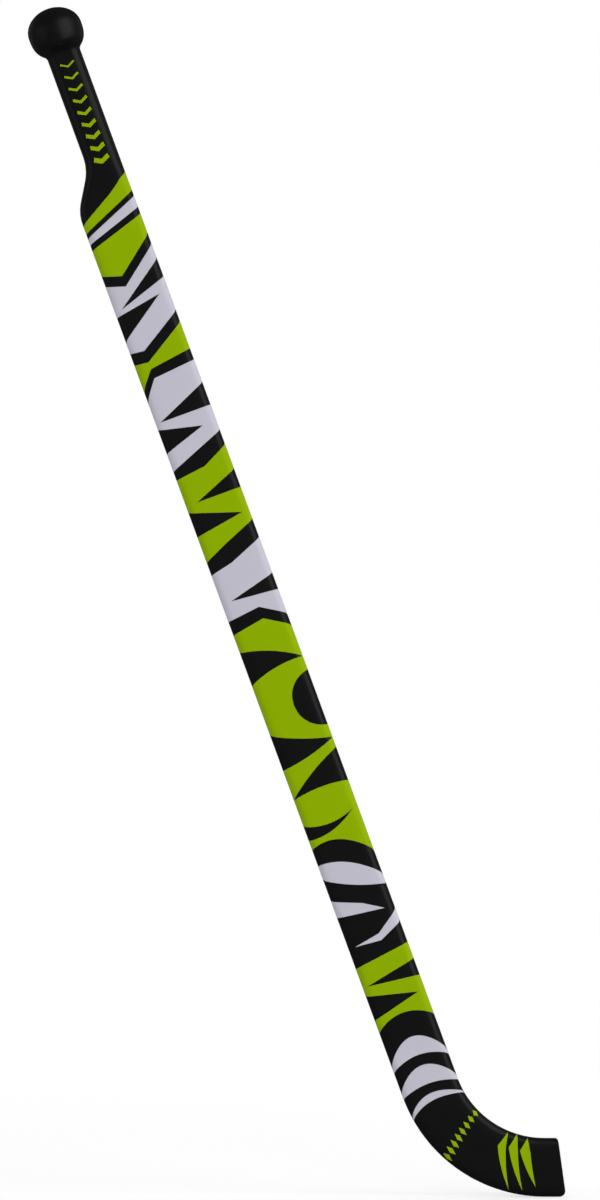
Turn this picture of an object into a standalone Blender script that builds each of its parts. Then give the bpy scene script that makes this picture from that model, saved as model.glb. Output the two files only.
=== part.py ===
"""Roller hockey goalie stick: a bent laminated blade and shaft, a narrowed handle and a ball knob.

The stick is drawn upright in its own frame: the shaft runs down along Z, depth is measured across
the shaft from the straight inner edge (at +X) to the outer edge (at -X), and Y is the thickness.
An empty then leans it as it is held, so that the sole of the blade is level. Metres throughout.
"""
import math

import bmesh
import bpy

# Driving sizes of the outline
SHAFT_WIDTH = 0.048
SHAFT_LENGTH = 0.766
HANDLE_LENGTH = 0.0843
STICK_THICKNESS = 0.018
SHAFT_EDGE_RADIUS = 0.006
HANDLE_EDGE_RADIUS = 0.0085
SHOULDER_HOLLOW_RADIUS = 0.038
SHOULDER_SWELL_RADIUS = 0.033
SHOULDER_ANGLE = math.radians(31.3)
BEND_INNER_RADIUS = 0.076
LEAN_ANGLE = math.radians(20.25)
TOE_RUN = 0.0113
TOE_CUT_ANGLE = math.radians(8.0)
TOE_TOP_CORNER = 0.0025
TOE_SOLE_CORNER = 0.006

# Driving sizes of the build-up, from the middle outwards
PLY_COUNT = 12
HANDLE_PLY_COUNT = 7
GLUE_LINE = 0.0003
GLASS_THICKNESS = 0.0006
FILM_THICKNESS = 0.0004
TOE_COAT_THICKNESS = 0.0006
THINNEST_PLY_TIP = 0.0005

# Driving sizes of the knob and its joint
KNOB_DIAMETER = 0.0455
KNOB_CROWN_HEIGHT = 0.0186
KNOB_SKIRT_HEIGHT = 0.0213
KNOB_SKIRT_FULLNESS = 2.75
NECK_EDGE_COVE = 0.0016
NECK_FACE_COVE = 0.0045
KNOB_BLEND_HEIGHT = 0.009
TENON_DIAMETER = 0.016
TENON_LENGTH = 0.024
TENON_CLEARANCE = 0.0003
TENON_ROOT_BEVEL = 0.0005

# Fineness of the facets, and the angle above which an edge between two of them stays sharp
SHOULDER_CUTS = 14
BEND_CUTS = 24
EDGE_FACETS = 5
PLY_FACETS = 3
KNOB_SIDES = 32
CROWN_RINGS = 9
SKIRT_RINGS = 11
SKIRT_RING_CROWDING = 1.6
SHARP_ANGLE = math.radians(35.0)

# Sizes that follow: the plies share the shaft's width, and the handle is as wide as its own plies
BLANK_INSET = FILM_THICKNESS + GLUE_LINE
PLY_THICKNESS = (SHAFT_WIDTH - 2 * BLANK_INSET - (PLY_COUNT - 1) * GLUE_LINE) / PLY_COUNT
PLY_PITCH = PLY_THICKNESS + GLUE_LINE
HANDLE_WIDTH = HANDLE_PLY_COUNT * PLY_PITCH - GLUE_LINE + 2 * BLANK_INSET
HALF_THICKNESS = STICK_THICKNESS / 2
WOOD_HALF_THICKNESS = HALF_THICKNESS - BLANK_INSET - GLASS_THICKNESS - GLUE_LINE
TOE_END_INSET = TOE_COAT_THICKNESS + GLUE_LINE
BEND_ANGLE = math.pi / 2 - LEAN_ANGLE

# Levels that follow; the origin is the middle of the handle, where it is gripped
HANDLE_TOP = HANDLE_LENGTH / 2
SHOULDER_TOP = -HANDLE_LENGTH / 2
INNER_EDGE_X = HANDLE_WIDTH / 2


def clear_scene():
    """Remove whatever the scene holds."""
    for thing in list(bpy.data.objects):
        bpy.data.objects.remove(thing, do_unlink=True)


def finish(name, colour, roughness, metallic=0.0):
    """A plain surface finish with a linear colour."""
    material = bpy.data.materials.new(name)
    material.use_nodes = True
    shader = material.node_tree.nodes["Principled BSDF"]
    shader.inputs["Base Color"].default_value = (*colour, 1.0)
    shader.inputs["Roughness"].default_value = roughness
    shader.inputs["Metallic"].default_value = metallic
    return material


# The shoulder: a hollow arc, a straight slope and a swelling arc carry the outer edge outwards
def shoulder_shape():
    """Radius of the hollow arc, length of the slope along the shaft, radius of the swelling arc.

    The two arcs shrink together where the step in width leaves no room for the slope between them.
    """
    step = SHAFT_WIDTH - HANDLE_WIDTH
    arc_step = (SHOULDER_HOLLOW_RADIUS + SHOULDER_SWELL_RADIUS) * (1 - math.cos(SHOULDER_ANGLE))
    fit = min(1.0, step / arc_step)
    slope_length = (step - fit * arc_step) / math.tan(SHOULDER_ANGLE)
    return fit * SHOULDER_HOLLOW_RADIUS, slope_length, fit * SHOULDER_SWELL_RADIUS


def shoulder_length():
    """Length of the whole shoulder along the shaft."""
    hollow, slope_length, swell = shoulder_shape()
    return (hollow + swell) * math.sin(SHOULDER_ANGLE) + slope_length


def stick_width(height):
    """Width of the straight stick at a height, from the inner edge to the outer one."""
    hollow, slope_length, swell = shoulder_shape()
    drop = SHOULDER_TOP - height
    if drop <= 0:
        return HANDLE_WIDTH
    if drop >= shoulder_length():
        return SHAFT_WIDTH
    hollow_length = hollow * math.sin(SHOULDER_ANGLE)
    if drop < hollow_length:
        return HANDLE_WIDTH + hollow - math.sqrt(hollow ** 2 - drop ** 2)
    if drop < hollow_length + slope_length:
        hollow_step = hollow * (1 - math.cos(SHOULDER_ANGLE))
        return HANDLE_WIDTH + hollow_step + (drop - hollow_length) * math.tan(SHOULDER_ANGLE)
    left = shoulder_length() - drop
    return SHAFT_WIDTH - swell + math.sqrt(swell ** 2 - left ** 2)


def edge_radius(height):
    """Rounding of the long edges: fuller on the handle, easing off through the shoulder."""
    share = min(max((SHOULDER_TOP - height) / shoulder_length(), 0.0), 1.0)
    ease = share * share * (3 - 2 * share)
    return HANDLE_EDGE_RADIUS + ease * (SHAFT_EDGE_RADIUS - HANDLE_EDGE_RADIUS)


# Slices across the stick, from the handle's top to the toe, which every layer is lofted through
class Slice:
    """A slice square to the stick: its place on the inner edge, its turn, its width and rounding."""

    def __init__(self, x, z, turn, width, radius, is_toe=False):
        self.x = x
        self.z = z
        self.turn = turn
        self.width = width
        self.radius = radius
        self.is_toe = is_toe

    def point(self, depth, y, end_inset=0.0):
        """World place of a point at a depth from the inner edge; the toe's slice follows its cut."""
        run = toe_reach(depth) - end_inset if self.is_toe else 0.0
        x = self.x - depth * math.cos(self.turn) + run * math.sin(self.turn)
        z = self.z - depth * math.sin(self.turn) - run * math.cos(self.turn)
        return (x, y, z)


def corner_relief(distance, radius):
    """How far a round corner falls back at a distance from its side."""
    inside = max(radius - distance, 0.0)
    return radius - math.sqrt(radius ** 2 - inside ** 2)


def toe_reach(depth):
    """Run of the blade past the bend at a depth: a slanting cut with both corners rounded."""
    cut = TOE_RUN + depth * math.tan(TOE_CUT_ANGLE)
    top_corner = corner_relief(depth, TOE_TOP_CORNER)
    sole_corner = corner_relief(SHAFT_WIDTH - depth, TOE_SOLE_CORNER)
    return cut - top_corner - sole_corner


def straight_slice(height):
    """A slice of the straight stick."""
    return Slice(INNER_EDGE_X, height, 0.0, stick_width(height), edge_radius(height))


def handle_slices():
    """Slices from the handle's top to the last one above the toe."""
    bend_start = SHOULDER_TOP - shoulder_length() - SHAFT_LENGTH
    slices = [straight_slice(HANDLE_TOP)]
    for step in range(SHOULDER_CUTS + 1):
        slices.append(straight_slice(SHOULDER_TOP - shoulder_length() * step / SHOULDER_CUTS))
    for step in range(BEND_CUTS + 1):
        turn = BEND_ANGLE * step / BEND_CUTS
        x = INNER_EDGE_X + BEND_INNER_RADIUS * (1 - math.cos(turn))
        z = bend_start - BEND_INNER_RADIUS * math.sin(turn)
        slices.append(Slice(x, z, turn, SHAFT_WIDTH, SHAFT_EDGE_RADIUS))
    return slices


def toe_slice():
    """The slice that follows the toe's cut."""
    last = handle_slices()[-1]
    return Slice(last.x, last.z, last.turn, SHAFT_WIDTH, SHAFT_EDGE_RADIUS, is_toe=True)


def half_thickness_at(depth, low, high, half, radius):
    """Half thickness of a rounded section, low to high across, at a depth."""
    from_edge = max(min(depth - low, high - depth), 0.0)
    if from_edge >= radius:
        return half
    return half - radius + math.sqrt(radius ** 2 - (radius - from_edge) ** 2)


# Lofting: rings of points are joined to each other and closed at both ends
def close_end(mesh, row):
    """Close a ring by a ladder of faces, whose rungs join its first half to its second."""
    for index in range(len(row) // 2 - 1):
        mesh.faces.new((row[index], row[index + 1], row[-2 - index], row[-1 - index]))


def loft(name, rings, material, parent):
    """A closed solid through a list of rings with the same number of points."""
    mesh = bmesh.new()
    rows = [[mesh.verts.new(point) for point in ring] for ring in rings]
    for upper, lower in zip(rows, rows[1:]):
        for index in range(len(upper)):
            following = (index + 1) % len(upper)
            mesh.faces.new((upper[index], upper[following], lower[following], lower[index]))
    close_end(mesh, rows[0][::-1])
    close_end(mesh, rows[-1])
    if mesh.calc_volume(signed=True) < 0:
        bmesh.ops.reverse_faces(mesh, faces=mesh.faces)
    data = bpy.data.meshes.new(name)
    mesh.to_mesh(data)
    mesh.free()
    data.materials.append(material)
    data.shade_smooth()
    data.set_sharp_from_angle(angle=SHARP_ANGLE)
    piece = bpy.data.objects.new(name, data)
    bpy.context.collection.objects.link(piece)
    piece.parent = parent
    return piece


# The laminated blank: bent plies, of which the inner ones run on into the handle and its tenon
def ply_ring(cut, low, high, half, radius, ply_low, ply_high, end_inset=0.0):
    """Section of one ply: its front side across, then its back side home."""
    depths = [ply_low + (ply_high - ply_low) * step / PLY_FACETS for step in range(PLY_FACETS + 1)]
    heights = [min(half_thickness_at(d, low, high, half, radius), WOOD_HALF_THICKNESS) for d in depths]
    front = [cut.point(d, -h, end_inset) for d, h in zip(depths, heights)]
    back = [cut.point(d, h, end_inset) for d, h in zip(depths, heights)]
    return front + back[::-1]


def blank_ring(cut, ply_low, ply_high):
    """Section of a ply in the blank, or None above the place where the shoulder has cut it away."""
    high = cut.width - BLANK_INSET
    if high - ply_low < THINNEST_PLY_TIP:
        return None
    radius = cut.radius - BLANK_INSET
    half = HALF_THICKNESS - BLANK_INSET
    end_inset = TOE_END_INSET if cut.is_toe else 0.0
    return ply_ring(cut, BLANK_INSET, high, half, radius, ply_low, min(ply_high, high), end_inset)


def tenon_rings(ply_low, ply_high):
    """Sections of a ply in the round tenon above the handle, topmost first.

    The tenon's sides keep a narrow flat, so that no ply ends there in a knife edge.
    """
    middle = HANDLE_WIDTH / 2
    half = TENON_DIAMETER / 2
    rounding = half - THINNEST_PLY_TIP / 2
    low = middle - half
    high = middle + half
    part_low = max(ply_low, low)
    part_high = min(ply_high, high)
    if part_high - part_low < THINNEST_PLY_TIP:
        return []
    rings = []
    for height in (HANDLE_TOP + TENON_LENGTH, HANDLE_TOP):
        cut = straight_slice(height)
        rings.append(ply_ring(cut, low, high, half, rounding, part_low, part_high))
    return rings


def shoulder_tip_slice(ply_low):
    """The slice at which the shoulder leaves only the thinnest tip of a ply."""
    wanted = ply_low + THINNEST_PLY_TIP + BLANK_INSET
    above = SHOULDER_TOP
    below = SHOULDER_TOP - shoulder_length()
    while above - below > THINNEST_PLY_TIP / 1000:
        middle = (above + below) / 2
        if stick_width(middle) < wanted:
            above = middle
        else:
            below = middle
    return straight_slice(below)


def ply_rings(number):
    """All the sections of one ply, top to toe."""
    ply_low = BLANK_INSET + (number - 1) * PLY_PITCH
    ply_high = ply_low + PLY_THICKNESS
    rings = tenon_rings(ply_low, ply_high)
    if rings:
        cuts = [straight_slice(HANDLE_TOP - TENON_ROOT_BEVEL)] + handle_slices()[1:]
    elif HANDLE_WIDTH - BLANK_INSET - ply_low >= THINNEST_PLY_TIP:
        cuts = handle_slices()
    else:
        tip = shoulder_tip_slice(ply_low)
        cuts = [tip] + [cut for cut in handle_slices() if cut.z < tip.z - THINNEST_PLY_TIP]
    for cut in cuts + [toe_slice()]:
        ring = blank_ring(cut, ply_low, ply_high)
        if ring:
            rings.append(ring)
    return rings


def make_plies(parent):
    """The bent plies, numbered from the inner edge to the outer one."""
    hard = finish("edge_hardwood", (0.46, 0.28, 0.13), 0.5)
    light = finish("core_softwood", (0.62, 0.47, 0.29), 0.55)
    for number in range(1, PLY_COUNT + 1):
        is_edge = number in (1, 2, PLY_COUNT - 1, PLY_COUNT)
        name = f"ply_{number:02d}_hardwood" if is_edge else f"ply_{number:02d}_core"
        loft(name, ply_rings(number), hard if is_edge else light, parent)


# Glass-fibre sheets on both faces of the blank, their edges rounded off with it
def sheet_ring(cut, side):
    """Section of a glass sheet, whose edges follow the rounding of the blank."""
    low = BLANK_INSET
    high = cut.width - BLANK_INSET
    half = HALF_THICKNESS - BLANK_INSET
    radius = cut.radius - BLANK_INSET
    end_inset = TOE_END_INSET if cut.is_toe else 0.0
    outer_y = half
    inner_y = half - GLASS_THICKNESS

    def edge_depth(y):
        return radius - math.sqrt(radius ** 2 - (y - half + radius) ** 2)

    levels = [inner_y, (inner_y + outer_y) / 2, outer_y]
    rising = [cut.point(low + edge_depth(y), side * y, end_inset) for y in levels]
    falling = [cut.point(high - edge_depth(y), side * y, end_inset) for y in reversed(levels)]
    return rising + falling


def make_glass_sheets(parent):
    """The front and the back sheet."""
    glass = finish("glass_fibre_resin", (0.55, 0.53, 0.42), 0.35)
    for name, side in (("front_glass_sheet", -1), ("back_glass_sheet", 1)):
        rings = [sheet_ring(cut, side) for cut in handle_slices() + [toe_slice()]]
        loft(name, rings, glass, parent)


# The printed film: a front and a back half that meet along the middle of both long edges
def side_points(low, high, half, radius, seam_y):
    """One half of a rounded section as (depth, y), from seam to seam."""
    arc = [math.pi / 2 * step / EDGE_FACETS for step in range(EDGE_FACETS + 1)]
    rising = [(low + radius * (1 - math.cos(a)), half - radius * (1 - math.sin(a))) for a in arc]
    falling = [(low + high - depth, y) for depth, y in reversed(rising)]
    return [(low, seam_y)] + rising + falling + [(high, seam_y)]


def film_ring(cut, side):
    """Section of one film half: its outside from seam to seam, then its inside back."""
    end_inset = TOE_END_INSET if cut.is_toe else 0.0
    ring = []
    for inset in (0.0, FILM_THICKNESS):
        half = HALF_THICKNESS - inset
        radius = cut.radius - inset
        chain = side_points(inset, cut.width - inset, half, radius, GLUE_LINE / 2)
        points = [cut.point(depth, side * y, end_inset) for depth, y in chain]
        ring.extend(points if inset == 0.0 else points[::-1])
    return ring


def make_films(parent):
    """The two halves of the printed film."""
    film = finish("printed_film", (0.012, 0.012, 0.014), 0.32)
    for name, side in (("front_printed_film", -1), ("back_printed_film", 1)):
        rings = [film_ring(cut, side) for cut in handle_slices() + [toe_slice()]]
        loft(name, rings, film, parent)


# The toe's end coat: sealing resin over the end grain, flush with the film all round
def whole_ring(cut, inset, end_inset):
    """Section of the whole stick, drawn in by an inset."""
    half = HALF_THICKNESS - inset
    chain = side_points(inset, cut.width - inset, half, cut.radius - inset, 0.0)[1:-1]
    front = [cut.point(depth, -y, end_inset) for depth, y in chain]
    back = [cut.point(depth, y, end_inset) for depth, y in reversed(chain)]
    return front + back


def make_toe_coat(parent):
    """The coat is a thin plate with a softened rim."""
    resin = finish("black_sealing_resin", (0.010, 0.010, 0.011), 0.4)
    soft_rim = TOE_COAT_THICKNESS / 2
    cut = toe_slice()
    rings = [
        whole_ring(cut, 0.0, TOE_COAT_THICKNESS),
        whole_ring(cut, 0.0, soft_rim),
        whole_ring(cut, soft_rim, 0.0),
    ]
    loft("toe_end_coat", rings, resin, parent)


# The ball knob: a turned ball, carved at its neck into the handle's section and bored for the tenon
def soft_maximum(first, second, softness):
    """The larger of two values, with a rounded inside corner where they cross."""
    return (first + second + math.sqrt((first - second) ** 2 + softness ** 2)) / 2


def skirt_radius(height):
    """Radius of the turned ball below its widest ring, a full superellipse, by height above the seat."""
    share = min((KNOB_SKIRT_HEIGHT - height) / KNOB_SKIRT_HEIGHT, 1.0)
    return KNOB_DIAMETER / 2 * (1 - share ** KNOB_SKIRT_FULLNESS) ** (1 / KNOB_SKIRT_FULLNESS)


def neck_half_width(height, handle_half, cove):
    """Half width of the knob below its widest ring: the turned ball, coved into the handle's side.

    The cove adds a little at the seat and at the widest ring too, which is taken off again.
    """
    widest = KNOB_DIAMETER / 2
    seat_excess = soft_maximum(0.0, handle_half, cove) - handle_half
    widest_excess = soft_maximum(widest, handle_half, cove) - widest
    rise = height / KNOB_SKIRT_HEIGHT
    coved = soft_maximum(skirt_radius(height), handle_half, cove)
    return coved - seat_excess * (1 - rise) - widest_excess * rise


def knob_ring(height, half_x, half_y, blend):
    """Section of the knob: the handle's rounded section (blend 0) easing into a circle (blend 1)."""
    flat_x = HANDLE_WIDTH / 2 - HANDLE_EDGE_RADIUS
    flat_y = HALF_THICKNESS - HANDLE_EDGE_RADIUS
    ring = []
    for side in range(KNOB_SIDES):
        angle = math.tau * side / KNOB_SIDES
        cosine = round(math.cos(angle), 9)
        sine = round(math.sin(angle), 9)
        box_x = HANDLE_EDGE_RADIUS * cosine + (flat_x * cosine / abs(cosine) if cosine else 0.0)
        box_y = HANDLE_EDGE_RADIUS * sine + (flat_y * sine / abs(sine) if sine else 0.0)
        share_x = (1 - blend) * box_x / (HANDLE_WIDTH / 2) + blend * cosine
        share_y = (1 - blend) * box_y / HALF_THICKNESS + blend * sine
        ring.append((half_x * share_x, half_y * share_y, HANDLE_TOP + GLUE_LINE + height))
    return ring


def bore_ring(height):
    """Section of the bore for the tenon."""
    radius = TENON_DIAMETER / 2 + TENON_CLEARANCE
    angles = [math.tau * side / KNOB_SIDES for side in range(KNOB_SIDES)]
    z = HANDLE_TOP + GLUE_LINE + height
    return [(radius * math.cos(a), radius * math.sin(a), z) for a in angles]


def make_knob(parent):
    """The knob is lofted from its crown down to the neck, and on up the inside of its bore."""
    paint = finish("black_satin_paint", (0.010, 0.010, 0.011), 0.38)
    rings = []
    for step in range(CROWN_RINGS):
        angle = math.pi / 2 * (1 - (step + 0.5) / (CROWN_RINGS + 0.5))
        height = KNOB_SKIRT_HEIGHT + KNOB_CROWN_HEIGHT * math.sin(angle)
        radius = KNOB_DIAMETER / 2 * math.cos(angle)
        rings.append(knob_ring(height, radius, radius, 1.0))
    for step in range(SKIRT_RINGS + 1):
        height = KNOB_SKIRT_HEIGHT * (1 - step / SKIRT_RINGS) ** SKIRT_RING_CROWDING
        half_x = neck_half_width(height, HANDLE_WIDTH / 2, NECK_EDGE_COVE)
        half_y = neck_half_width(height, HALF_THICKNESS, NECK_FACE_COVE)
        share = min(height / KNOB_BLEND_HEIGHT, 1.0)
        rings.append(knob_ring(height, half_x, half_y, share * share * (3 - 2 * share)))
    rings.append(bore_ring(0.0))
    rings.append(bore_ring(TENON_LENGTH))
    loft("ball_knob", rings, paint, parent)


def main():
    clear_scene()
    stick = bpy.data.objects.new("playing_lean", None)
    bpy.context.collection.objects.link(stick)
    stick.rotation_euler = (0.0, -LEAN_ANGLE, 0.0)
    make_plies(stick)
    make_glass_sheets(stick)
    make_films(stick)
    make_toe_coat(stick)
    make_knob(stick)


main()
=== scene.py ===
"""Roller hockey goalie stick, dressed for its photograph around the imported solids.

The sections follow the stick as it is put together: the bent plies, the glass-fibre sheets, the
printed film, the coat on the toe and the ball knob; then the studio. Everything is in metres but
the points of the print, which are in millimetres.
"""
import math

import bmesh
import bpy
import numpy as np
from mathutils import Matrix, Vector


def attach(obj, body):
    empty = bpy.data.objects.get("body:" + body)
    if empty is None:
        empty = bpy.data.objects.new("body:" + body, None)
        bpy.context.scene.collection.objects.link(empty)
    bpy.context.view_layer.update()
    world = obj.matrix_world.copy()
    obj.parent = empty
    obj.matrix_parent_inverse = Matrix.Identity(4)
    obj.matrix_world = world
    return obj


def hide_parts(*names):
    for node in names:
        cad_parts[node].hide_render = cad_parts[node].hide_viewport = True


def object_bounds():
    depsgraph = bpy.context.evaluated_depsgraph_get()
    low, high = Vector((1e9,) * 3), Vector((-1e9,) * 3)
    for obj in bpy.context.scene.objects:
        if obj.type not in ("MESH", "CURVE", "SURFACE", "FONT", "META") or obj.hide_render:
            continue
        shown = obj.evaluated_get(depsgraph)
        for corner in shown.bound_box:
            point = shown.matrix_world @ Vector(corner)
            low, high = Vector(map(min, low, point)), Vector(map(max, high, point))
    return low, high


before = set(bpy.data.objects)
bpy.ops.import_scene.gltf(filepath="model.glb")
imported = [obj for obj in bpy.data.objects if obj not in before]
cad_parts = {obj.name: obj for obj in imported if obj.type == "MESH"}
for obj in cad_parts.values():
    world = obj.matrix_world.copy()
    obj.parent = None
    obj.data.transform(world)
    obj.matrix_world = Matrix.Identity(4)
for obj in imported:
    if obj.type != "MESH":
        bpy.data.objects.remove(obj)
cad_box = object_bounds()


# The bent plies: strips of planed ash at the two edges and of light poplar between them, bent
# together in a press while the glue was wet. The film hides them, but each wears its own wood.
LEAN = math.radians(20.25)
EDGE_PLIES = ("ply_01_hardwood", "ply_02_hardwood", "ply_11_hardwood", "ply_12_hardwood")
GRAIN_SPACING = 0.0012
GRAIN_LENGTH = 0.060
FIBRE_SPACING = 0.0003
PORE_DEPTH = 0.0001


def linear(hex_colour):
    """The linear colour, with alpha, of an sRGB hex value."""
    parts = np.array([int(hex_colour[place:place + 2], 16) / 255 for place in (1, 3, 5)])
    straight = np.where(parts > 0.04045, ((parts + 0.055) / 1.055) ** 2.4, parts / 12.92)
    return (*straight, 1.0)


def add_node(owner, kind, values=None, links=None, **settings):
    """Add a node to a material or the world, with its settings and its sockets' values and links."""
    made = owner.node_tree.nodes.new(kind)
    for name, setting in settings.items():
        setattr(made, name, setting)
    for socket, value in (values or {}).items():
        made.inputs[socket].default_value = value
    for socket, source in (links or {}).items():
        owner.node_tree.links.new(source, made.inputs[socket])
    return made


def new_finish(name, **shader_values):
    """A material with its Principled shader, whose sockets take the given values."""
    material = bpy.data.materials.new(name)
    material.use_nodes = True
    shader = material.node_tree.nodes["Principled BSDF"]
    for socket, value in shader_values.items():
        shader.inputs[socket.replace("_", " ")].default_value = value
    return material, shader


def planed_wood(name, early, late, pores):
    """Planed and glued wood: dark late-wood lines run along the ply, with fine pores between them."""
    material, shader = new_finish(name, IOR=1.5)
    place = add_node(material, "ShaderNodeTexCoord")
    along = add_node(
        material, "ShaderNodeMapping",
        values={"Rotation": (0.0, LEAN, 0.0), "Scale": (1.0, 1.0, GRAIN_SPACING / GRAIN_LENGTH)},
        links={"Vector": place.outputs["Object"]},
    )
    lines = add_node(
        material, "ShaderNodeTexNoise",
        values={"Scale": 1 / GRAIN_SPACING, "Detail": 4.0, "Roughness": 0.6, "Distortion": 0.3},
        links={"Vector": along.outputs["Vector"]},
    )
    fibres = add_node(
        material, "ShaderNodeTexNoise",
        values={"Scale": 1 / FIBRE_SPACING, "Detail": 2.0},
        links={"Vector": along.outputs["Vector"]},
    )
    colour = add_node(material, "ShaderNodeValToRGB", links={"Fac": lines.outputs["Fac"]})
    colour.color_ramp.elements[0].position = 0.35
    colour.color_ramp.elements[0].color = linear(late)
    colour.color_ramp.elements[1].position = 0.62
    colour.color_ramp.elements[1].color = linear(early)
    worn = add_node(
        material, "ShaderNodeMapRange",
        values={"To Min": 0.48, "To Max": 0.66},
        links={"Value": fibres.outputs["Fac"]},
    )
    relief = add_node(
        material, "ShaderNodeBump",
        values={"Strength": pores, "Distance": PORE_DEPTH},
        links={"Height": fibres.outputs["Fac"]},
    )
    material.node_tree.links.new(colour.outputs["Color"], shader.inputs["Base Color"])
    material.node_tree.links.new(worn.outputs["Result"], shader.inputs["Roughness"])
    material.node_tree.links.new(relief.outputs["Normal"], shader.inputs["Normal"])
    return material


def wear(node_name, material):
    """Give a carried-over solid its finished material."""
    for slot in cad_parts[node_name].material_slots:
        slot.material = material


ash = planed_wood("planed_ash", "#C9A26B", "#8E6435", pores=0.5)
poplar = planed_wood("planed_poplar", "#DCC394", "#BFA06A", pores=0.2)
for node_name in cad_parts:
    if node_name.startswith("ply_"):
        wear(node_name, ash if node_name in EDGE_PLIES else poplar)


# The glass-fibre sheets: plain-woven glass cloth in clear resin, bonded to both faces of the
# blank and planed flush with its edges. The weave shows as a pale check under the resin.
TOW_WIDTH = 0.0008
WEAVE_RELIEF = 0.00005
# At a scale of one, the bands of a wave texture are this far apart
WAVE_SPACING = math.tau / 20


def woven_glass(name, tow, gap):
    """Cured laminate: two sets of crossing bands, a pale tow against a darker resin gap."""
    material, shader = new_finish(name, IOR=1.52)
    place = add_node(material, "ShaderNodeTexCoord")
    turned = add_node(
        material, "ShaderNodeMapping",
        values={"Rotation": (0.0, LEAN, 0.0)},
        links={"Vector": place.outputs["Object"]},
    )
    bands = [
        add_node(
            material, "ShaderNodeTexWave", bands_direction=direction,
            values={"Scale": WAVE_SPACING / TOW_WIDTH, "Distortion": 0.4, "Detail": 1.0},
            links={"Vector": turned.outputs["Vector"]},
        )
        for direction in ("X", "Z")
    ]
    weave = add_node(
        material, "ShaderNodeMath", operation="MULTIPLY",
        links={0: bands[0].outputs["Fac"], 1: bands[1].outputs["Fac"]},
    )
    colour = add_node(
        material, "ShaderNodeMix", data_type="RGBA",
        values={6: linear(gap), 7: linear(tow)},
        links={0: weave.outputs["Value"]},
    )
    gloss = add_node(
        material, "ShaderNodeMapRange",
        values={"To Min": 0.28, "To Max": 0.45},
        links={"Value": weave.outputs["Value"]},
    )
    relief = add_node(
        material, "ShaderNodeBump",
        values={"Strength": 0.3, "Distance": WEAVE_RELIEF},
        links={"Height": weave.outputs["Value"]},
    )
    material.node_tree.links.new(colour.outputs[2], shader.inputs["Base Color"])
    material.node_tree.links.new(gloss.outputs["Result"], shader.inputs["Roughness"])
    material.node_tree.links.new(relief.outputs["Normal"], shader.inputs["Normal"])
    return material


glass_laminate = woven_glass("cured_glass_laminate", "#C8C7A8", "#9A9878")
for node_name in ("front_glass_sheet", "back_glass_sheet"):
    wear(node_name, glass_laminate)


# The printed film: vinyl 0.4 mm thick with its lacquer, printed black, lime and pale grey, laid
# on the front and the back, drawn down round both long edges and trimmed where the halves meet.
MM = 0.001
SHAFT_WIDTH = 0.048
SHAFT_LENGTH = 0.766
HANDLE_WIDTH = 0.028457
HANDLE_LENGTH = 0.0843
HALF_THICKNESS = 0.009
HANDLE_EDGE_RADIUS = 0.0085
SHAFT_EDGE_RADIUS = 0.006
HOLLOW_RADIUS = 0.038
SWELL_RADIUS = 0.033
SHOULDER_ANGLE = math.radians(31.3)
BEND_RADIUS = 0.076
BEND_ANGLE = math.pi / 2 - LEAN
TOE_RUN = 0.0113
TOE_CUT = math.tan(math.radians(8.0))
TOE_TOP_CORNER = 0.0025
TOE_SOLE_CORNER = 0.006
FILM_END_INSET = 0.00065
FILM_THICKNESS = 0.0004
FILM_SEAM = 0.00008
FILM_TOP = -0.00025
EASE_RADIUS = 0.060
EASE_TURN = math.radians(5.0)
EASE_START = 0.012
EDGE_FACETS = 10
FACE_FACET = 0.001
ROW_LENGTH = 0.004
SHARP_ANGLE = math.radians(40.0)

HOLLOW_RUN = HOLLOW_RADIUS * math.sin(SHOULDER_ANGLE)
SWELL_RUN = SWELL_RADIUS * math.sin(SHOULDER_ANGLE)
ARC_STEP = (HOLLOW_RADIUS + SWELL_RADIUS) * (1 - math.cos(SHOULDER_ANGLE))
SLOPE_RUN = (SHAFT_WIDTH - HANDLE_WIDTH - ARC_STEP) / math.tan(SHOULDER_ANGLE)
SHOULDER_RUN = HOLLOW_RUN + SLOPE_RUN + SWELL_RUN
BEND_START = HANDLE_LENGTH + SHOULDER_RUN + SHAFT_LENGTH
BEND_RUN = (BEND_RADIUS + SHAFT_WIDTH / 2) * BEND_ANGLE
BEND_END = BEND_START + BEND_RUN
TOE_LENGTH = TOE_RUN + TOE_CUT * SHAFT_WIDTH / 2
FILM_END = BEND_END + TOE_LENGTH
EASE_WIDTH = EASE_RADIUS * math.sin(EASE_TURN)
EDGE_SHARE = 1 - math.sin(EASE_TURN)


def eased(share):
    """A smooth step from nought to one, by the cubic 3s^2 - 2s^3, and level beyond both ends."""
    share = np.clip(share, 0.0, 1.0)
    return share * share * (3 - 2 * share)


def width_at(along):
    """Width of the stick at distances from the handle's top.

    The handle's width, plus what the shoulder has added by then: a circle's fall for the hollow,
    a straight slope, and the rise of the last part of a circle for the swelling.
    """
    drop = np.clip(along - HANDLE_LENGTH, 0.0, SHOULDER_RUN)
    hollow = HOLLOW_RADIUS - np.sqrt(HOLLOW_RADIUS ** 2 - np.minimum(drop, HOLLOW_RUN) ** 2)
    slope = np.clip(drop - HOLLOW_RUN, 0.0, SLOPE_RUN) * math.tan(SHOULDER_ANGLE)
    left = np.minimum(SHOULDER_RUN - drop, SWELL_RUN)
    swell = np.sqrt(SWELL_RADIUS ** 2 - left ** 2) - math.sqrt(SWELL_RADIUS ** 2 - SWELL_RUN ** 2)
    return HANDLE_WIDTH + hollow + slope + swell


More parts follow.
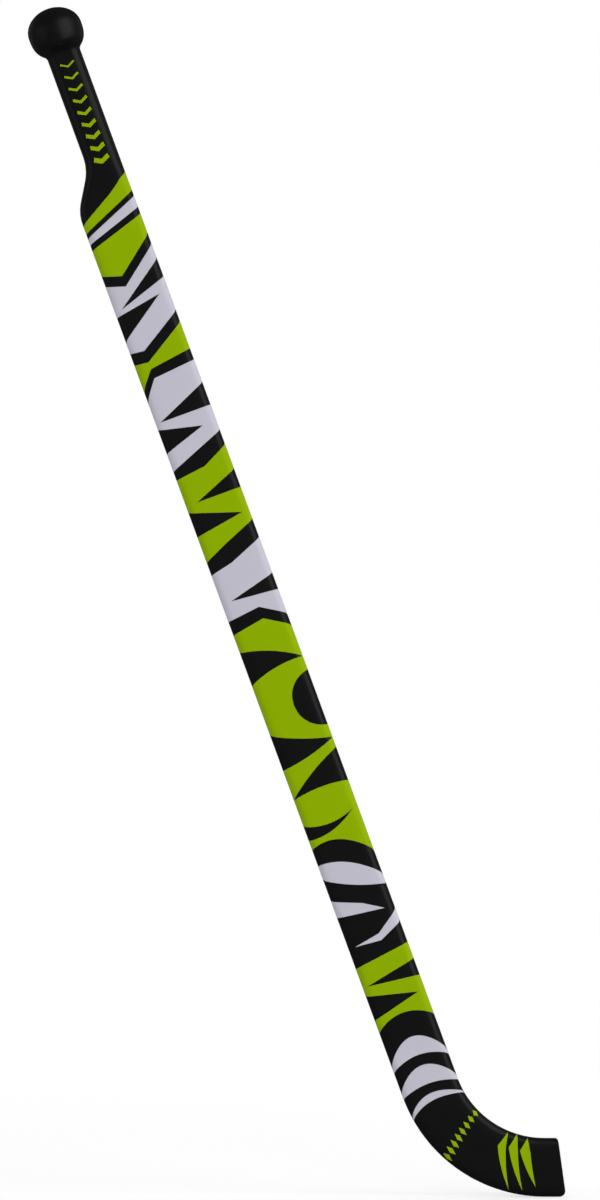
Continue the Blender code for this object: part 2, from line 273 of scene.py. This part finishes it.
def edge_radius_at(along):
    """Rounding of the long edges: the handle's, easing by a smooth step into the shaft's."""
    share = eased((along - HANDLE_LENGTH) / SHOULDER_RUN)
    return HANDLE_EDGE_RADIUS + share * (SHAFT_EDGE_RADIUS - HANDLE_EDGE_RADIUS)


def corner_fall(distance, radius):
    """How far a round corner falls back, by a circle, at a distance from its side."""
    inside = np.maximum(radius - distance, 0.0)
    return radius - np.sqrt(radius ** 2 - inside ** 2)


def leant(points):
    """Points of the upright stick, turned about Y by the lean at which it is held."""
    x, y, z = points[..., 0], points[..., 1], points[..., 2]
    turned_x = x * math.cos(LEAN) - z * math.sin(LEAN)
    turned_z = x * math.sin(LEAN) + z * math.cos(LEAN)
    return np.stack([turned_x, y, turned_z], axis=-1)


def on_stick(along, depth, out, end_inset):
    """Places on the stick, from the distance along it, the depth from its inner edge, and y.

    A place runs down the straight inner edge, round the bend by its share of the angle, and on
    by its share of the toe's slanting reach; its depth is then laid off square to that path.
    """
    turn = np.clip((along - BEND_START) / BEND_RUN, 0.0, 1.0) * BEND_ANGLE
    toe_share = np.clip((along - BEND_END) / TOE_LENGTH, 0.0, 1.0)
    reach = TOE_RUN + TOE_CUT * depth - end_inset
    reach = reach - corner_fall(depth, TOE_TOP_CORNER) - corner_fall(SHAFT_WIDTH - depth, TOE_SOLE_CORNER)
    run = toe_share * reach
    x = HANDLE_WIDTH / 2 + BEND_RADIUS * (1 - np.cos(turn)) - depth * np.cos(turn) + run * np.sin(turn)
    down = np.minimum(along, BEND_START) + BEND_RADIUS * np.sin(turn)
    z = HANDLE_LENGTH / 2 - down - depth * np.sin(turn) - run * np.cos(turn)
    return leant(np.stack([x, out, z], axis=-1))


def film_columns():
    """The lines that run along the film from seam to seam, as four arrays.

    They are the depth and the fall of the rounded edge before the line, by the sine and the cosine
    of its slope, as shares of its radius; the share of the face before the line; and the distance
    across from the middle of the face on the shaft, which goes in whole facets on the face.
    """
    turn = np.linspace(math.pi / 2, EASE_TURN, EDGE_FACETS + 1)
    half_face = SHAFT_WIDTH / 2 - EDGE_SHARE * SHAFT_EDGE_RADIUS
    facets = math.floor(half_face / FACE_FACET)
    face = np.arange(-facets, facets + 1) * FACE_FACET
    near_depth = 1 - np.sin(turn)
    far_depth = 2 * EDGE_SHARE - near_depth[::-1]
    fall = math.cos(EASE_TURN) - np.cos(turn)
    wrap = half_face + SHAFT_EDGE_RADIUS * (turn - EASE_TURN)
    edge_depth = np.concatenate([near_depth, np.full(len(face), EDGE_SHARE), far_depth])
    edge_fall = np.concatenate([fall, 0 * face, fall[::-1]])
    face_share = np.concatenate([0 * turn, (face / half_face + 1) / 2, 0 * turn + 1])
    across = np.concatenate([-wrap, face, wrap[::-1]])
    return edge_depth, edge_fall, face_share, across


EDGE_DEPTH, EDGE_FALL, FACE_SHARE, ACROSS = film_columns()


def film_section(along, inset):
    """The depth of the film's lines and how far out they lie, at an inset from the surface.

    The face is level in the middle and falls by a wide circle over its last millimetres, and the
    rounded edge carries on from there by its own circle. The face's fall is eased in below the knob.
    """
    radius = edge_radius_at(along) - inset
    face_width = width_at(along) - 2 * inset - 2 * EDGE_SHARE * radius
    from_edge = np.minimum(FACE_SHARE, 1 - FACE_SHARE) * face_width
    face_fall = eased(along / EASE_START) * corner_fall(EASE_RADIUS - EASE_WIDTH + from_edge, EASE_RADIUS)
    depth = inset + EDGE_DEPTH * radius + FACE_SHARE * face_width
    return depth, HALF_THICKNESS - inset - EDGE_FALL * radius - face_fall


def finished(name, mesh):
    """Merge the points that meet, turn the faces outwards, smooth all but sharp edges, and place it."""
    work = bmesh.new()
    work.from_mesh(mesh)
    bmesh.ops.remove_doubles(work, verts=work.verts, dist=1e-6)
    if work.calc_volume(signed=True) < 0:
        bmesh.ops.reverse_faces(work, faces=work.faces)
    work.to_mesh(mesh)
    work.free()
    mesh.shade_smooth()
    mesh.set_sharp_from_angle(angle=SHARP_ANGLE)
    piece = bpy.data.objects.new(name, mesh)
    bpy.context.scene.collection.objects.link(piece)
    return piece


def closed_tube(name, grid, face_slots, uv_grid=None):
    """A closed solid from a grid of rings: rows of four-sided faces, with a ladder over each end."""
    rows, around = grid.shape[:2]
    corner = np.arange(rows * around).reshape(rows, around)
    following = np.roll(corner, -1, axis=1)
    sides = np.stack([corner[:-1], following[:-1], following[1:], corner[1:]], axis=-1).reshape(-1, 4)
    rung = np.arange(around // 2 - 1)
    ladder = np.stack([rung, rung + 1, around - 2 - rung, around - 1 - rung], axis=-1)
    faces = np.concatenate([sides, ladder[:, ::-1], ladder + (rows - 1) * around])
    end_slots = np.repeat([face_slots[0], face_slots[-1]], len(rung))
    slots = np.concatenate([np.repeat(face_slots, around), end_slots])
    mesh = bpy.data.meshes.new(name)
    mesh.from_pydata(grid.reshape(-1, 3), [], faces)
    mesh.polygons.foreach_set("material_index", slots.astype(np.int32))
    if uv_grid is not None:
        layer = mesh.uv_layers.new(name="along_the_piece")
        layer.uv.foreach_set("vector", uv_grid.reshape(-1, 2)[faces.reshape(-1)].astype(np.float32).ravel())
    return finished(name, mesh)


# The film's print, a generic design: chevrons down the handle, shards, tusks and crescents down
# the shaft, and lozenges and claws on the blade. Each entry starts an ink along a line through
# points given in millimetres, as (across, along), from the handle's top to the toe.
INKS = ("black", "lime", "pale")
CHEVRONS = 9
FIRST_CHEVRON = 7
CHEVRON_PITCH = 10.2
CHEVRON_THICKNESS = 1.6
CHEVRON_GROWTH = 0.3
CHEVRON_ACROSS = np.array([-18, -16, 0, 16, 18])
CHEVRON_POINT = np.array([0, 0, 3, 0, 0])
CHEVRON_TIPS = np.array([1, 0, 0, 0, 1])
LOZENGES = 8
LOZENGE_PITCH = 6
LOZENGE_HALF_WIDTH = 2
LOZENGE_ROW_SLOPE = 0.2
HALF_SPREAD = 30
RIGHT_EDGE = -27
TIP_CLOSING = 3
PLACES_ACROSS = np.arange(-HALF_SPREAD, HALF_SPREAD + 1.0)


def line_through(across, along):
    """A line of the print, from matching places across the film and along it."""
    return np.stack([across, along], axis=1)


def handle_chevron(number):
    """One lime chevron of the row down the handle, thicker than the one above it."""
    top = FIRST_CHEVRON + CHEVRON_PITCH * number + CHEVRON_POINT
    thickness = CHEVRON_THICKNESS + CHEVRON_GROWTH * number
    return [
        ("lime", line_through(CHEVRON_ACROSS, top + thickness * CHEVRON_TIPS)),
        ("black", line_through(CHEVRON_ACROSS, top + thickness)),
    ]


def bow(right, middle, left):
    """A line bent evenly, as a parabola, through its two ends at the edges and its middle."""
    share = PLACES_ACROSS / HALF_SPREAD
    bend = (left + right) / 2 - middle
    return line_through(PLACES_ACROSS, middle + (left - right) / 2 * share + bend * share ** 2)


def tusk(root, thickness, tip, sag, ground, from_right=False):
    """A black tusk across the film, from its root at one edge to a point on the other, evenly bent.

    The two lines cross on the far edge's rounding, so that the tip closes before the seam.
    """
    lines = []
    for ink, start, end in (("black", root, tip), (ground, root + thickness, tip - TIP_CLOSING)):
        right, left = (start, end) if from_right else (end, start)
        lines.append((ink, bow(right, (start + end) / 2 + sag, left)))
    return lines


def bite(edge, centre, radius, ground):
    """A black half disc that comes in from one edge: two lines that part by a circle's chords."""
    half_chord = np.sqrt(np.maximum(radius ** 2 - (PLACES_ACROSS - edge) ** 2, 0))
    return [
        ("black", line_through(PLACES_ACROSS, centre - half_chord)),
        (ground, line_through(PLACES_ACROSS, centre + half_chord)),
    ]


def crescent(ends, upper, lower):
    """A pale crescent across the film: two bows with the same ends, one deeper than the other."""
    return [("pale", bow(ends, upper, ends)), ("black", bow(ends, lower, ends))]


def lozenge_row(along, half_height):
    """A row of lime lozenges across the blade: two lines that part and meet again in turn."""
    centres = LOZENGE_PITCH * (np.arange(LOZENGES) - (LOZENGES - 1) / 2)
    turns = np.ravel(centres[:, None] + LOZENGE_HALF_WIDTH * np.array([-1, 0, 1]))
    middle = along + LOZENGE_ROW_SLOPE * turns
    rise = np.tile([0.0, half_height, 0.0], LOZENGES)
    return [("lime", line_through(turns, middle - rise)), ("black", line_through(turns, middle + rise))]


def claw(heel, belly, tip):
    """A lime claw: from its heel, past the two sides of its belly at one place across, to its tip."""
    across, upper, lower = belly
    return [("lime", [heel, (across, upper), tip]), ("black", [heel, (across, lower), tip])]


PRINT = [("black", [(-30, -1), (30, -1)])]
for number in range(CHEVRONS):
    PRINT += handle_chevron(number)
PRINT += [
    ("lime", [(-30, 105), (30, 142)]),
    ("black", [(-30, 122), (30, 148)]),
    ("pale", [(-30, 127), (30, 152)]),
    ("black", [(-30, 137), (30, 157)]),
    ("lime", [(-30, 143), (30, 162)]),
    ("black", [(-30, 158), (8, 188), (30, 181)]),
    ("pale", [(-30, 167), (8, 197), (30, 190)]),
    ("black", [(-30, 180), (18, 214)]),
    ("pale", [(-30, 198), (18, 214)]),
    ("black", [(-16, 212), (30, 220)]),
    ("pale", [(-16, 212), (30, 244)]),
    ("black", [(-30, 226), (12, 252), (30, 250)]),
    ("lime", [(-30, 236), (12, 262), (30, 260)]),
    ("black", [(-30, 262), (12, 268), (30, 290)]),
    ("pale", [(-30, 272), (12, 276), (30, 300)]),
    ("black", [(-30, 290), (20, 312)]),
    ("pale", [(-30, 312), (20, 312)]),
    ("black", [(-12, 326), (30, 316)]),
    ("pale", [(-12, 326), (30, 340)]),
    ("black", [(-30, 332), (30, 356)]),
    ("lime", [(-30, 344), (-2, 358), (30, 362)]),
    ("black", [(-30, 366), (14, 384)]),
    ("lime", [(-30, 384), (14, 384)]),
    ("black", [(-18, 404), (30, 388)]),
    ("lime", [(-18, 404), (30, 412)]),
    ("black", [(-30, 410), (4, 424), (30, 436)]),
    ("pale", [(-30, 426), (4, 440), (30, 446)]),
    ("black", [(-30, 458), (16, 470)]),
    ("pale", [(-30, 474), (16, 470)]),
    ("black", [(-30, 498), (-4, 482), (30, 486)]),
    ("lime", [(-30, 508), (-4, 492), (30, 498)]),
]
PRINT += tusk(root=512, thickness=32, tip=536, sag=-5, ground="lime")
PRINT += bite(RIGHT_EDGE, 568, 24, "lime")
PRINT += tusk(root=582, thickness=34, tip=604, sag=3, ground="lime")
PRINT += tusk(root=610, thickness=32, tip=646, sag=-4, ground="lime", from_right=True)
PRINT += tusk(root=662, thickness=14, tip=658, sag=9, ground="lime")
PRINT += [
    ("black", bow(right=708, middle=684, left=688)),
    ("pale", bow(right=728, middle=704, left=700)),
    ("black", bow(right=732, middle=724, left=708)),
    ("pale", [(-16, 750), (0, 740), (30, 728)]),
    ("black", [(-16, 750), (0, 748), (30, 744)]),
    ("pale", [(-30, 750), (-4, 768), (18, 772)]),
    ("black", [(-30, 762), (-4, 774), (18, 772)]),
    ("lime", [(-30, 782), (30, 790)]),
    ("black", [(-30, 796), (20, 806)]),
    ("lime", [(-30, 812), (20, 806)]),
    ("black", [(-18, 824), (30, 812)]),
    ("lime", [(-18, 824), (30, 836)]),
    ("black", bow(right=850, middle=836, left=850)),
]
PRINT += crescent(ends=884, upper=857, lower=873)
PRINT += crescent(ends=906, upper=882, lower=898)
PRINT += crescent(ends=922, upper=906, lower=912)
PRINT += lozenge_row(along=948, half_height=4.5)
PRINT += claw(heel=(-24, 984), belly=(-10, 980, 988), tip=(22, 1000))
PRINT += claw(heel=(-26, 994), belly=(-12, 990, 999), tip=(20, 1009))
PRINT += claw(heel=(-24, 1006), belly=(-12, 1001, 1011), tip=(16, 1018))


def film_rows(print_lines):
    """Distances along the film, a row for each line of the print and enough between them.

    Every line is drawn between its own points, and never falls back over the one before it, so
    that two lines that cross close the ink between them to a point. Rows between are even.
    """
    starts = [np.interp(ACROSS, *np.array(points, float).T * MM) for ink, points in print_lines]
    starts = np.maximum.accumulate(np.array(starts + [np.full(len(ACROSS), FILM_END)]))
    starts = np.maximum(starts, FILM_TOP)
    rows, inks = [], []
    for (ink, points), top, bottom in zip(print_lines, starts, starts[1:]):
        count = max(1, math.ceil((bottom - top).max() / ROW_LENGTH))
        share = np.arange(count)[:, None] / count
        rows.append(top + (bottom - top) * share)
        inks += [INKS.index(ink)] * count
    return np.concatenate(rows + [starts[-1:]]), np.array(inks)


# The film's finish: screen inks under a satin lacquer. The lacquer's orange peel and the faint
# smudges of handling break up the gloss, while each ink keeps one even colour. The lime keeps
# its hue in the gloss too, as in the photograph.
PEEL_SPACING = 0.0022
PEEL_RELIEF = 0.00004
SMUDGE_SIZE = 0.022


def lacquered_ink(name, colour, tint="#FFFFFF"):
    """Screen ink under satin lacquer: an even colour whose gloss is broken by peel and smudges."""
    material, shader = new_finish(name, Base_Color=linear(colour), Specular_Tint=linear(tint), IOR=1.45)
    film = add_node(material, "ShaderNodeUVMap", uv_map="along_the_piece")
    peel = add_node(
        material, "ShaderNodeTexNoise",
        values={"Scale": 1 / PEEL_SPACING, "Detail": 2.0},
        links={"Vector": film.outputs["UV"]},
    )
    smudges = add_node(
        material, "ShaderNodeTexNoise",
        values={"Scale": 1 / SMUDGE_SIZE, "Detail": 3.0, "Roughness": 0.6},
        links={"Vector": film.outputs["UV"]},
    )
    gloss = add_node(
        material, "ShaderNodeMapRange",
        values={"From Min": 0.3, "From Max": 0.7, "To Min": 0.31, "To Max": 0.39},
        links={"Value": smudges.outputs["Fac"]},
    )
    relief = add_node(
        material, "ShaderNodeBump",
        values={"Strength": 0.25, "Distance": PEEL_RELIEF},
        links={"Height": peel.outputs["Fac"]},
    )
    material.node_tree.links.new(gloss.outputs["Result"], shader.inputs["Roughness"])
    material.node_tree.links.new(relief.outputs["Normal"], shader.inputs["Normal"])
    return material


inks = [
    lacquered_ink("lacquered_black_ink", "#0E0E0F"),
    lacquered_ink("lacquered_lime_ink", "#8AAA02", tint="#F0FF70"),
    lacquered_ink("lacquered_pale_ink", "#C1BECB"),
]
along, row_inks = film_rows(PRINT)
for name, side in (("front_film", -1), ("back_film", 1)):
    layers = []
    for inset in (0.0, FILM_THICKNESS):
        depth, out = film_section(along, inset)
        out[:, [0, -1]] = FILM_SEAM
        layers.append(on_stick(along, depth, side * out, FILM_END_INSET))
    outer, inner = layers
    steps = np.linalg.norm(np.diff(outer, axis=1, prepend=outer[:, :1]), axis=-1)
    laid_flat = np.stack([np.cumsum(steps, axis=1), along], axis=-1)
    both_layers = np.concatenate([outer, inner[:, ::-1]], axis=1)
    film_map = np.concatenate([laid_flat, laid_flat[:, ::-1]], axis=1)
    film = closed_tube(name, both_layers, row_inks, film_map)
    for ink in inks:
        film.data.materials.append(ink)
    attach(film, "root")
    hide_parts(name.replace("film", "printed_film"))


# The toe's coat: black sealing resin, brushed in two coats over the end grain until it stands
# flush with the film. Brush marks run down the toe, and the gloss is lower than the film's.
BRUSH_MARK = 0.0009
BRUSH_STROKE = 0.015
BRUSH_RELIEF = 0.0001
COAT_THICKNESS = 0.0006
SOFT_RIM = 0.0004
RIM_FACETS = 5


def brushed_resin(name, colour):
    """Brushed and cured resin: long soft marks down the face, in the gloss and in the relief."""
    material, shader = new_finish(name, Base_Color=linear(colour), IOR=1.5)
    place = add_node(material, "ShaderNodeTexCoord")
    drawn_out = add_node(
        material, "ShaderNodeMapping",
        values={"Scale": (0.3, 1.0, BRUSH_MARK / BRUSH_STROKE)},
        links={"Vector": place.outputs["Object"]},
    )
    marks = add_node(
        material, "ShaderNodeTexNoise",
        values={"Scale": 1 / BRUSH_MARK, "Detail": 3.0},
        links={"Vector": drawn_out.outputs["Vector"]},
    )
    gloss = add_node(
        material, "ShaderNodeMapRange",
        values={"To Min": 0.3, "To Max": 0.55},
        links={"Value": marks.outputs["Fac"]},
    )
    relief = add_node(
        material, "ShaderNodeBump",
        values={"Strength": 0.5, "Distance": BRUSH_RELIEF},
        links={"Height": marks.outputs["Fac"]},
    )
    material.node_tree.links.new(gloss.outputs["Result"], shader.inputs["Roughness"])
    material.node_tree.links.new(relief.outputs["Normal"], shader.inputs["Normal"])
    return material


def toe_ring(inset, end_inset):
    """Section of the whole stick where it ends: the film's lines down the front and up the back."""
    depth, out = film_section(FILM_END, inset)
    both_depths = np.concatenate([depth, depth[::-1]])
    both_sides = np.concatenate([-out, out[::-1]])
    return on_stick(np.full(len(both_depths), FILM_END), both_depths, both_sides, end_inset)


rim_angle = np.linspace(0.0, math.pi / 2, RIM_FACETS + 1)
rim = [(SOFT_RIM * (1 - math.cos(turn)), SOFT_RIM * (1 - math.sin(turn))) for turn in rim_angle]
toe_rings = np.array([toe_ring(inset, end_inset) for inset, end_inset in [(0.0, COAT_THICKNESS)] + rim])
toe_coat = closed_tube("toe_coat", toe_rings, np.zeros(len(rim), int))
toe_coat.data.materials.append(brushed_resin("brushed_black_resin", "#101011"))
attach(toe_coat, "root")
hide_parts("toe_end_coat")


# The ball knob: beech turned to a ball, coved by hand at its neck into the handle's section,
# bored for the tenon, glued on and painted satin black with the handle.
KNOB_RADIUS = 0.02275
CROWN_HEIGHT = 0.0186
SKIRT_HEIGHT = 0.0213
SKIRT_FULLNESS = 2.75
NECK_COVE = 0.0028
NECK_FLARE_HEIGHT = 0.010
BLEND_HEIGHT = 0.009
BORE_RADIUS = 0.0083
BORE_DEPTH = 0.024
SEAT_GAP = 0.0003
KNOB_SEAT = HANDLE_LENGTH / 2 + SEAT_GAP
KNOB_SIDES = 96
CROWN_RINGS = 30
SKIRT_RINGS = 40
RING_CROWDING = 1.6
LATHE_MARK = 0.0009
PAINT_GRAIN = 0.0035
PAINT_RELIEF = 0.0001


def soft_maximum(first, second, softness):
    """The larger of two values, with a rounded inside corner where they cross."""
    return (first + second + np.sqrt((first - second) ** 2 + softness ** 2)) / 2


def coved_half_width(height):
    """Half width below the widest ring: a full superellipse, coved into the handle's edge.

    What the cove adds at the seat and at the widest ring is taken off again, in a straight blend.
    """
    share = 1 - height / SKIRT_HEIGHT
    turned = KNOB_RADIUS * (1 - share ** SKIRT_FULLNESS) ** (1 / SKIRT_FULLNESS)
    seat_excess = soft_maximum(0.0, HANDLE_WIDTH / 2, NECK_COVE) - HANDLE_WIDTH / 2
    widest_excess = soft_maximum(KNOB_RADIUS, HANDLE_WIDTH / 2, NECK_COVE) - KNOB_RADIUS
    coved = soft_maximum(turned, HANDLE_WIDTH / 2, NECK_COVE)
    return coved - seat_excess * share - widest_excess * (1 - share)


def knob_rings():
    """The knob's rings from its crown down to the neck and on up the bore, as a grid of points.

    The crown is half an ellipse. Below it, the width across the faces eases by a smooth step from
    the handle's thickness, and each ring from the handle's rounded section into a circle.
    """
    rise_angle = np.linspace(math.pi / 2, 0.0, CROWN_RINGS + 1)[:-1]
    crown = SKIRT_HEIGHT + CROWN_HEIGHT * np.sin(rise_angle)
    skirt = SKIRT_HEIGHT * np.linspace(1.0, 0.0, SKIRT_RINGS + 1) ** RING_CROWDING
    height = np.concatenate([crown, skirt])
    half_x = np.concatenate([KNOB_RADIUS * np.cos(rise_angle), coved_half_width(skirt)])
    flare = eased(height / NECK_FLARE_HEIGHT)
    half_y = HALF_THICKNESS + flare * (half_x - HALF_THICKNESS)
    blend = eased(height / BLEND_HEIGHT)[:, None]
    angle = math.tau * np.arange(KNOB_SIDES) / KNOB_SIDES
    # Rounded, so that the points at the quarters are exactly in the middle of the section's flats
    cosine = np.round(np.cos(angle), 9)
    sine = np.round(np.sin(angle), 9)
    flat_x = HANDLE_WIDTH / 2 - HANDLE_EDGE_RADIUS
    flat_y = HALF_THICKNESS - HANDLE_EDGE_RADIUS
    box_x = (HANDLE_EDGE_RADIUS * cosine + flat_x * np.sign(cosine)) / (HANDLE_WIDTH / 2)
    box_y = (HANDLE_EDGE_RADIUS * sine + flat_y * np.sign(sine)) / HALF_THICKNESS
    x = half_x[:, None] * ((1 - blend) * box_x + blend * cosine)
    y = half_y[:, None] * ((1 - blend) * box_y + blend * sine)
    z = np.broadcast_to(KNOB_SEAT + height[:, None], x.shape)
    outside = np.stack([x, y, z], axis=-1)
    bore_height = np.array([KNOB_SEAT, KNOB_SEAT + BORE_DEPTH])[:, None]
    bore_x = np.broadcast_to(BORE_RADIUS * cosine, (2, KNOB_SIDES))
    bore_y = np.broadcast_to(BORE_RADIUS * sine, (2, KNOB_SIDES))
    bore = np.stack([bore_x, bore_y, np.broadcast_to(bore_height, bore_x.shape)], axis=-1)
    return leant(np.concatenate([outside, bore]))


def painted_turning(name, colour):
    """Satin paint on turned beech: the lathe's fine rings and the grain still stand in the paint."""
    material, shader = new_finish(name, Base_Color=linear(colour), IOR=1.47)
    place = add_node(material, "ShaderNodeTexCoord")
    upright = add_node(
        material, "ShaderNodeMapping",
        values={"Rotation": (0.0, LEAN, 0.0)},
        links={"Vector": place.outputs["Object"]},
    )
    rings = add_node(
        material, "ShaderNodeTexWave", bands_direction="Z",
        values={"Scale": WAVE_SPACING / LATHE_MARK, "Distortion": 2.5, "Detail": 2.0, "Detail Scale": 0.6},
        links={"Vector": upright.outputs["Vector"]},
    )
    grain = add_node(
        material, "ShaderNodeTexNoise",
        values={"Scale": 1 / PAINT_GRAIN, "Detail": 4.0, "Roughness": 0.6},
        links={"Vector": upright.outputs["Vector"]},
    )
    gloss = add_node(
        material, "ShaderNodeMapRange",
        values={"From Min": 0.3, "From Max": 0.7, "To Min": 0.36, "To Max": 0.46},
        links={"Value": grain.outputs["Fac"]},
    )
    height = add_node(
        material, "ShaderNodeMath", operation="MULTIPLY_ADD",
        values={1: 0.35},
        links={0: rings.outputs["Fac"], 2: grain.outputs["Fac"]},
    )
    relief = add_node(
        material, "ShaderNodeBump",
        values={"Strength": 0.3, "Distance": PAINT_RELIEF},
        links={"Height": height.outputs["Value"]},
    )
    material.node_tree.links.new(gloss.outputs["Result"], shader.inputs["Roughness"])
    material.node_tree.links.new(relief.outputs["Normal"], shader.inputs["Normal"])
    return material


knob = closed_tube("knob_turning", knob_rings(), np.zeros(CROWN_RINGS + SKIRT_RINGS + 2, int))
knob.data.materials.append(painted_turning("satin_black_paint", "#0C0C0D"))
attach(knob, "root")
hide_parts("ball_knob")


# The studio: a pale floor under the sole and a white background. A tall soft box at the front
# right and faint ones at the left and behind give the gloss. Broad fills, kept out of the gloss,
# light the inks, a little more from the right, so that each renders about as its colour is written.
CAMERA_DISTANCE = 6.0
VIEW_HEIGHT = 0.9882
VIEW_CENTRE = (0.1806, -0.4090)
SENSOR = 36.0
CAMERA_ROLL = math.radians(-0.1)
AIM = (VIEW_CENTRE[0], 0.0, VIEW_CENTRE[1])
HALF_FLOOR = 1.5
FLOOR_GAP = 0.0002
FLOOR_GLOW = 0.6
AMBIENT = 0.05


def soft_box(name, place, width, height, watts, in_gloss=True):
    """A white soft box that faces the stick; sampled as a lamp alone, a fill leaves no gloss."""
    lamp = bpy.data.lights.new(name, "AREA")
    lamp.shape = "RECTANGLE"
    lamp.size = width
    lamp.size_y = height
    lamp.energy = watts
    lamp.cycles.use_multiple_importance_sampling = in_gloss
    light = bpy.data.objects.new(name, lamp)
    light.location = place
    light.rotation_euler = (Vector(AIM) - Vector(place)).to_track_quat("-Z", "Y").to_euler()
    light.visible_glossy = in_gloss
    bpy.context.scene.collection.objects.link(light)


soft_box("key_light", (2.25, -2.0, 1.0), 3.2, 4.6, 33.0)
soft_box("left_light", (-2.6, -1.4, 0.0), 2.2, 2.2, 3.0)
soft_box("left_rim_light", (-2.2, 2.4, 0.3), 2.2, 2.2, 1.5)
soft_box("right_rim_light", (2.6, 2.2, 0.5), 2.2, 2.2, 1.5)
for side in (-1, 1):
    soft_box("straight_fill", (0.2, side * 4.0, 0.6), 2.4, 2.4, 73.0, in_gloss=False)
    soft_box("right_fill", (3.4, side * 1.5, 0.3), 2.4, 2.4, 62.0, in_gloss=False)
    soft_box("left_fill", (-3.0, side * 1.5, 0.3), 2.4, 2.4, 39.0, in_gloss=False)


def share_seen(owner, unseen, seen):
    """A strength for the rays that the camera sees, also through clear things, and one for the rest.

    Gloss takes the unseen strength: the photograph's blacks stay too dark to mirror a white room.
    """
    ray = add_node(owner, "ShaderNodeLightPath")
    either = add_node(
        owner, "ShaderNodeMath", operation="MAXIMUM",
        links={0: ray.outputs["Is Camera Ray"], 1: ray.outputs["Is Transmission Ray"]},
    )
    strength = add_node(
        owner, "ShaderNodeMapRange",
        values={"To Min": unseen, "To Max": seen},
        links={"Value": either.outputs["Value"]},
    )
    return strength.outputs["Result"]


floor_level = cad_box[0][2] - FLOOR_GAP
floor_mesh = bpy.data.meshes.new("studio_floor")
corner_signs = ((-1, -1), (1, -1), (1, 1), (-1, 1))
floor_corners = [(AIM[0] + x * HALF_FLOOR, y * HALF_FLOOR, floor_level) for x, y in corner_signs]
floor_mesh.from_pydata(floor_corners, [], [(0, 1, 2, 3)])
floor = bpy.data.objects.new("studio_floor", floor_mesh)
floor.visible_glossy = False
bpy.context.scene.collection.objects.link(floor)
floor_paint, floor_shader = new_finish("matt_white_floor", Base_Color=linear("#BFBFBF"), Roughness=0.9)
floor_shader.inputs["Emission Color"].default_value = linear("#FFFFFF")
floor_glow = share_seen(floor_paint, 0.0, FLOOR_GLOW)
floor_paint.node_tree.links.new(floor_glow, floor_shader.inputs["Emission Strength"])
floor_mesh.materials.append(floor_paint)

world = bpy.data.worlds.new("studio_world")
world.use_nodes = True
background = world.node_tree.nodes["Background"]
background.inputs["Color"].default_value = linear("#FFFFFF")
world.node_tree.links.new(share_seen(world, AMBIENT, 1.0), background.inputs["Strength"])
bpy.context.scene.world = world

camera_data = bpy.data.cameras.new("photograph")
camera_data.sensor_width = SENSOR
camera_data.lens = SENSOR * CAMERA_DISTANCE / VIEW_HEIGHT
camera_data.clip_end = 50.0
camera = bpy.data.objects.new("photograph", camera_data)
camera.location = (VIEW_CENTRE[0], -CAMERA_DISTANCE, VIEW_CENTRE[1])
camera.rotation_euler = (math.pi / 2, CAMERA_ROLL, 0.0)
bpy.context.scene.collection.objects.link(camera)
bpy.context.scene.camera = camera
bpy.context.scene.view_settings.view_transform = "Standard"
